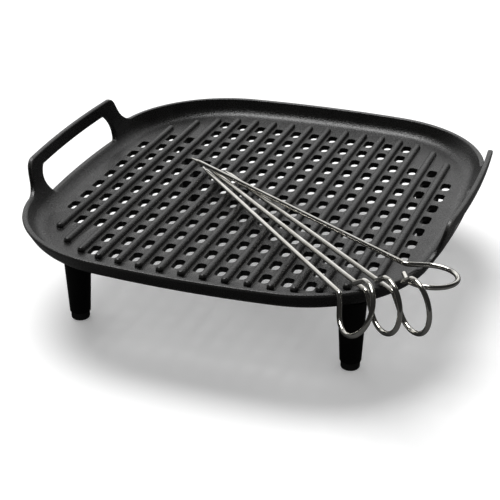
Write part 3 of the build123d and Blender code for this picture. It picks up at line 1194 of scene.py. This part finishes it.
# %% [markdown]
# ## Wire skewers
# A skewer is one length of polished wire: ground to a point, bent once, rolled into an
# open ring and finished with a short tail. Its centre line is drawn flat as lines and
# arcs, laid along the CAD skewer, and a circle is carried along it. The unwrap runs
# along the wire, which gives the finish its drawn lines.

# %% Skewer shape
shaft_length, point_length, tip_radius, wire_radius = 245.6, 11.0, 0.35, 1.75
ring_radius, ring_distance, bend_radius = 18.1, 23.4, 4.5
ring_end_angle, tail_radius, tail_turn, tail_length = 97.0, 4.5, 26.0, 10.5
ring_turns = {"front": -66.0, "second": -85.0, "third": -90.0, "top": -176.0}
wire_segments = 20


def skewer_line():
    """The centre line in its own plane: x along the shaft from the bend, y across."""
    touch = 180 - math.degrees(math.acos(ring_radius / ring_distance))
    touch_point = (
        ring_distance + ring_radius * math.cos(math.radians(touch)),
        ring_radius * math.sin(math.radians(touch)),
    )
    line = [(-shaft_length + point_length * i / 6, 0.0) for i in range(6)]
    shaft = rounded_line([(-shaft_length + point_length, 0), (0, 0), touch_point], [bend_radius], 14)
    line += evenly(shaft[:2], 24)[:-1] + shaft[1:-1]
    sweep = touch + ring_end_angle
    steps = 96
    for i in range(steps + 1):
        angle = math.radians(touch - sweep * i / steps)
        line.append((ring_distance + ring_radius * math.cos(angle), ring_radius * math.sin(angle)))
    end_angle = math.radians(-ring_end_angle)
    heading = end_angle - math.pi / 2
    normal = (math.cos(end_angle), math.sin(end_angle))
    tail_centre = (
        line[-1][0] - tail_radius * normal[0],
        line[-1][1] - tail_radius * normal[1],
    )
    for i in range(1, 9):
        angle = end_angle - math.radians(tail_turn) * i / 8
        line.append(
            (tail_centre[0] + tail_radius * math.cos(angle), tail_centre[1] + tail_radius * math.sin(angle))
        )
    heading -= math.radians(tail_turn)
    tail_start = line[-1]
    for i in range(1, 7):
        reach = tail_length * i / 6
        line.append(
            (tail_start[0] + reach * math.cos(heading), tail_start[1] + reach * math.sin(heading))
        )
    return line


def wire_radius_at(run, whole):
    """The wire's radius a distance along it: ground point, plain wire, rounded end."""
    if run < point_length:
        return tip_radius + (wire_radius - tip_radius) * run / point_length
    left = whole - run
    if left < 0.5:
        return wire_radius - 0.5 + math.sqrt(max(0.25 - (0.5 - left) ** 2, 0.0))
    return wire_radius


flat_line = skewer_line()
for i in (0.12, 0.3, 0.5):
    last, before = flat_line[-1], flat_line[-2]
    step = math.dist(last, before)
    flat_line.insert(-1, tuple(q + (p - q) * i / step for p, q in zip(before, last)))
flat_line[-4:-1] = flat_line[-4:-1][::-1]
runs = [0.0]
for first, second in zip(flat_line, flat_line[1:]):
    runs.append(runs[-1] + math.dist(first, second))
print("one skewer holds", round(runs[-1], 1), "mm of wire")

# %% Skewers in place
slides = {joint["name"]: Vector(joint["axis"]).normalized() for joint in frame["joints"]}


def skewer_mesh(tip, along, ring_turn):
    """Points, faces and unwrap of one skewer from its tip, direction and ring turn."""
    right = along.cross(Vector((0, 0, 1))).normalized()
    above = right.cross(along)
    turn = math.radians(ring_turn)
    across = right * math.cos(turn) + above * math.sin(turn)
    off_plane = along.cross(across)
    bend = tip + along * shaft_length * mm
    points, unwrap, faces = [], [], []
    wide = wire_segments + 1
    for i, (x, y) in enumerate(flat_line):
        before, after = flat_line[max(i - 1, 0)], flat_line[min(i + 1, len(flat_line) - 1)]
        run = Vector((after[0] - before[0], after[1] - before[1])).normalized()
        sideways = across * run[0] - along * run[1]
        radius = wire_radius_at(runs[i], runs[-1])
        centre = bend + (along * x + across * y) * mm
        for j in range(wide):
            angle = 2 * math.pi * j / wire_segments
            ring_point = sideways * math.cos(angle) + off_plane * math.sin(angle)
            points.append(centre + ring_point * radius * mm)
            unwrap.append((runs[i] * mm, angle * wire_radius * mm))
    for i in range(len(flat_line) - 1):
        for j in range(wire_segments):
            first = i * wide + j
            faces.append((first, first + 1, first + wide + 1, first + wide))
    faces.append(tuple(range(wire_segments)))
    last = (len(flat_line) - 1) * wide
    faces.append(tuple(range(last, last + wire_segments)))
    return points, faces, unwrap


for name, ring_turn in ring_turns.items():
    node = frame["nodes"]["skewer_" + name]
    along = slides["skewer_" + name + "_out"]
    placed = [node.matrix_world @ vertex.co for vertex in node.data.vertices]
    nearest = min(p.dot(along) for p in placed)
    tip_points = [p for p in placed if p.dot(along) < nearest + 0.02 * mm]
    tip = sum(tip_points, Vector()) / len(tip_points)
    points, faces, unwrap = skewer_mesh(tip, along, ring_turn)
    finished_piece(
        "wire_skewer_" + name, points, faces, skewer_wire, "skewer_" + name,
        "skewer_" + name, "skewer_wire", unwrap=unwrap,
    )
    print("tip at, mm:", [round(v / mm, 1) for v in tip])
